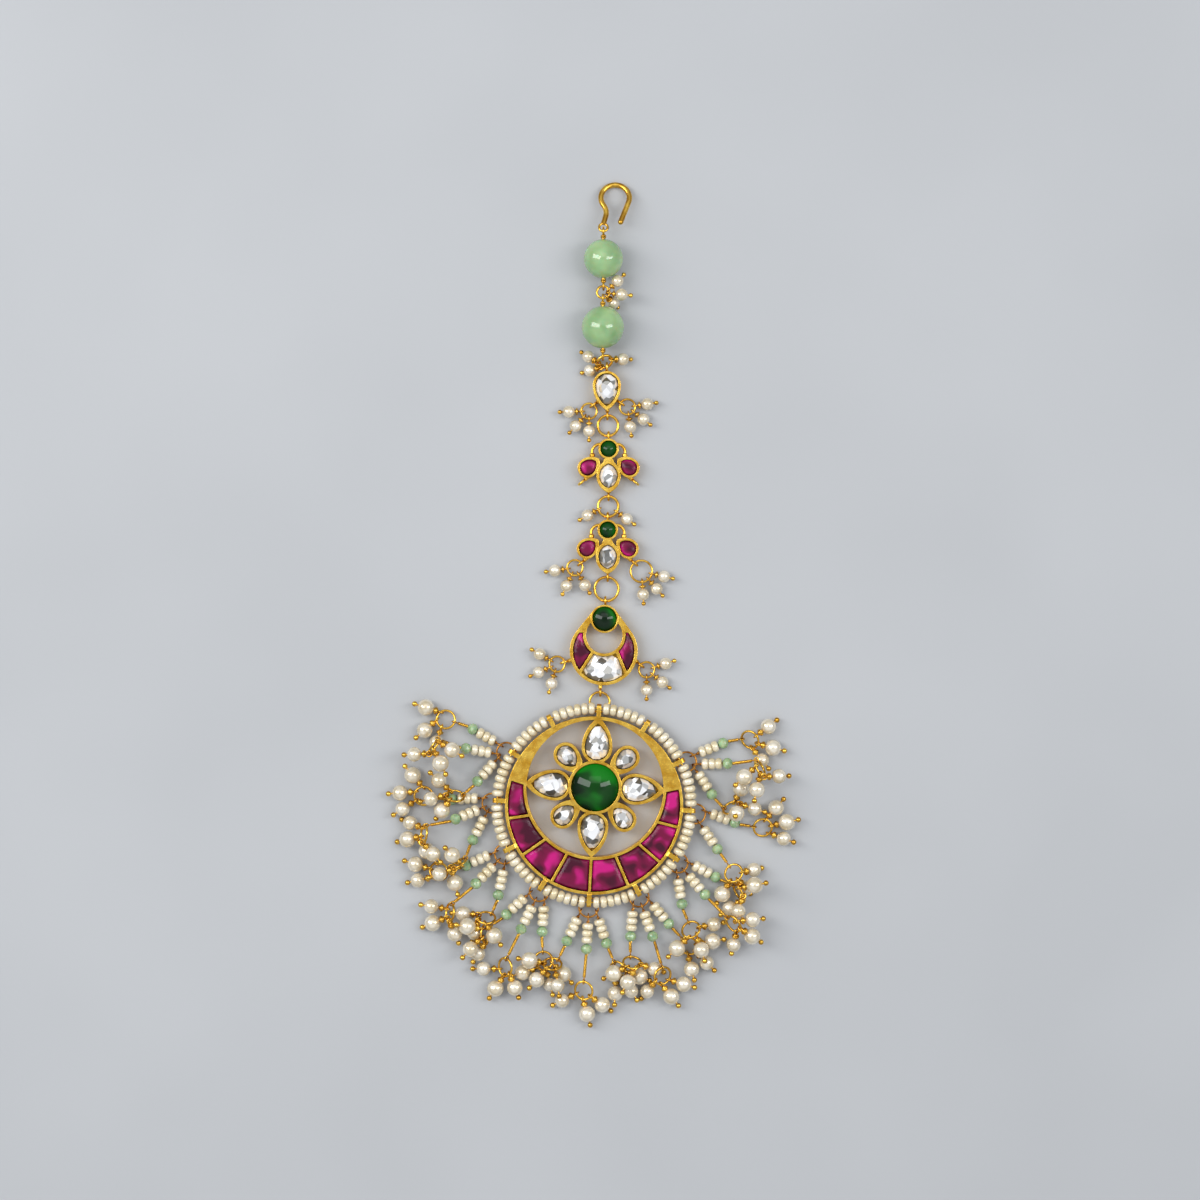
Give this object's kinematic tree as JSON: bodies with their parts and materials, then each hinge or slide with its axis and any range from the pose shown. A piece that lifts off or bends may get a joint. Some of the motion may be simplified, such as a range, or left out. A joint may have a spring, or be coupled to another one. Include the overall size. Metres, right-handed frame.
{
  "type": "maang tikka",
  "caption": "Indian forehead ornament: hair hook, jade beads, gem-set links and a pierced gem-set disc with a seed bead rim and a fringe of pearl drops, lying flat.",
  "frame": {"origin": "centre of the round disc's rim, on its flat back", "axes": "+Y from the disc along the chain to the hair hook, +Z out of the front"},
  "size_m": [0.0729, 0.1486, 0.0081],
  "materials": {
    "emerald": "polished cabochon",
    "gold": "satin gold plating",
    "gold_wire": "polished wire, dark in the turns",
    "jade": "polished, translucent",
    "pearl": "pearl lustre",
    "polki": "faceted, foil backed",
    "ruby": "polished",
    "seed_bead": "pearl lustre glass",
    "strand": "seed beads, green bead and wire"
  },
  "bodies": {
    "root": {"bead_wire_lower": "gold", "bead_wire_upper": "gold", "butterfly_1_green": "emerald", "butterfly_1_polki": "polki", "butterfly_1_ruby_left": "ruby", "butterfly_1_ruby_right": "ruby", "butterfly_1_setting": "gold", "butterfly_2_green": "emerald", "butterfly_2_polki": "polki", "butterfly_2_ruby_left": "ruby", "butterfly_2_ruby_right": "ruby", "butterfly_2_setting": "gold", "cluster_pearls": "pearl", "cluster_pins": "gold_wire", "cluster_rings": "gold", "crescent_green": "emerald", "crescent_polki": "polki", "crescent_ruby_left": "ruby", "crescent_ruby_right": "ruby", "crescent_setting": "gold", "disc_emerald": "emerald", "disc_frame": "gold", "disc_ruby_1": "ruby", "disc_ruby_2": "ruby", "disc_ruby_3": "ruby", "disc_ruby_4": "ruby", "disc_ruby_5": "ruby", "disc_ruby_6": "ruby", "disc_ruby_7": "ruby", "disc_ruby_8": "ruby", "drop_setting": "gold", "drop_stone": "polki", "fringe_hoops": "gold", "fringe_pearls_bottom": "pearl", "fringe_pearls_left": "pearl", "fringe_pearls_right": "pearl", "fringe_pins_bottom": "gold_wire", "fringe_pins_left": "gold_wire", "fringe_pins_right": "gold_wire", "fringe_strands_bottom": "strand", "fringe_strands_left": "strand", "fringe_strands_right": "strand", "hair_hook": "gold", "jade_bead_lower": "jade", "jade_bead_upper": "jade", "petal_polki_1": "polki", "petal_polki_2": "polki", "petal_polki_3": "polki", "petal_polki_4": "polki", "petal_polki_5": "polki", "petal_polki_6": "polki", "petal_polki_7": "polki", "petal_polki_8": "polki", "rim_seed_string": "seed_bead", "ring_beads": "gold", "ring_butterfly_1": "gold", "ring_butterfly_2": "gold", "ring_crescent": "gold", "ring_disc": "gold", "ring_drop": "gold"}
  },
  "joints": []
}
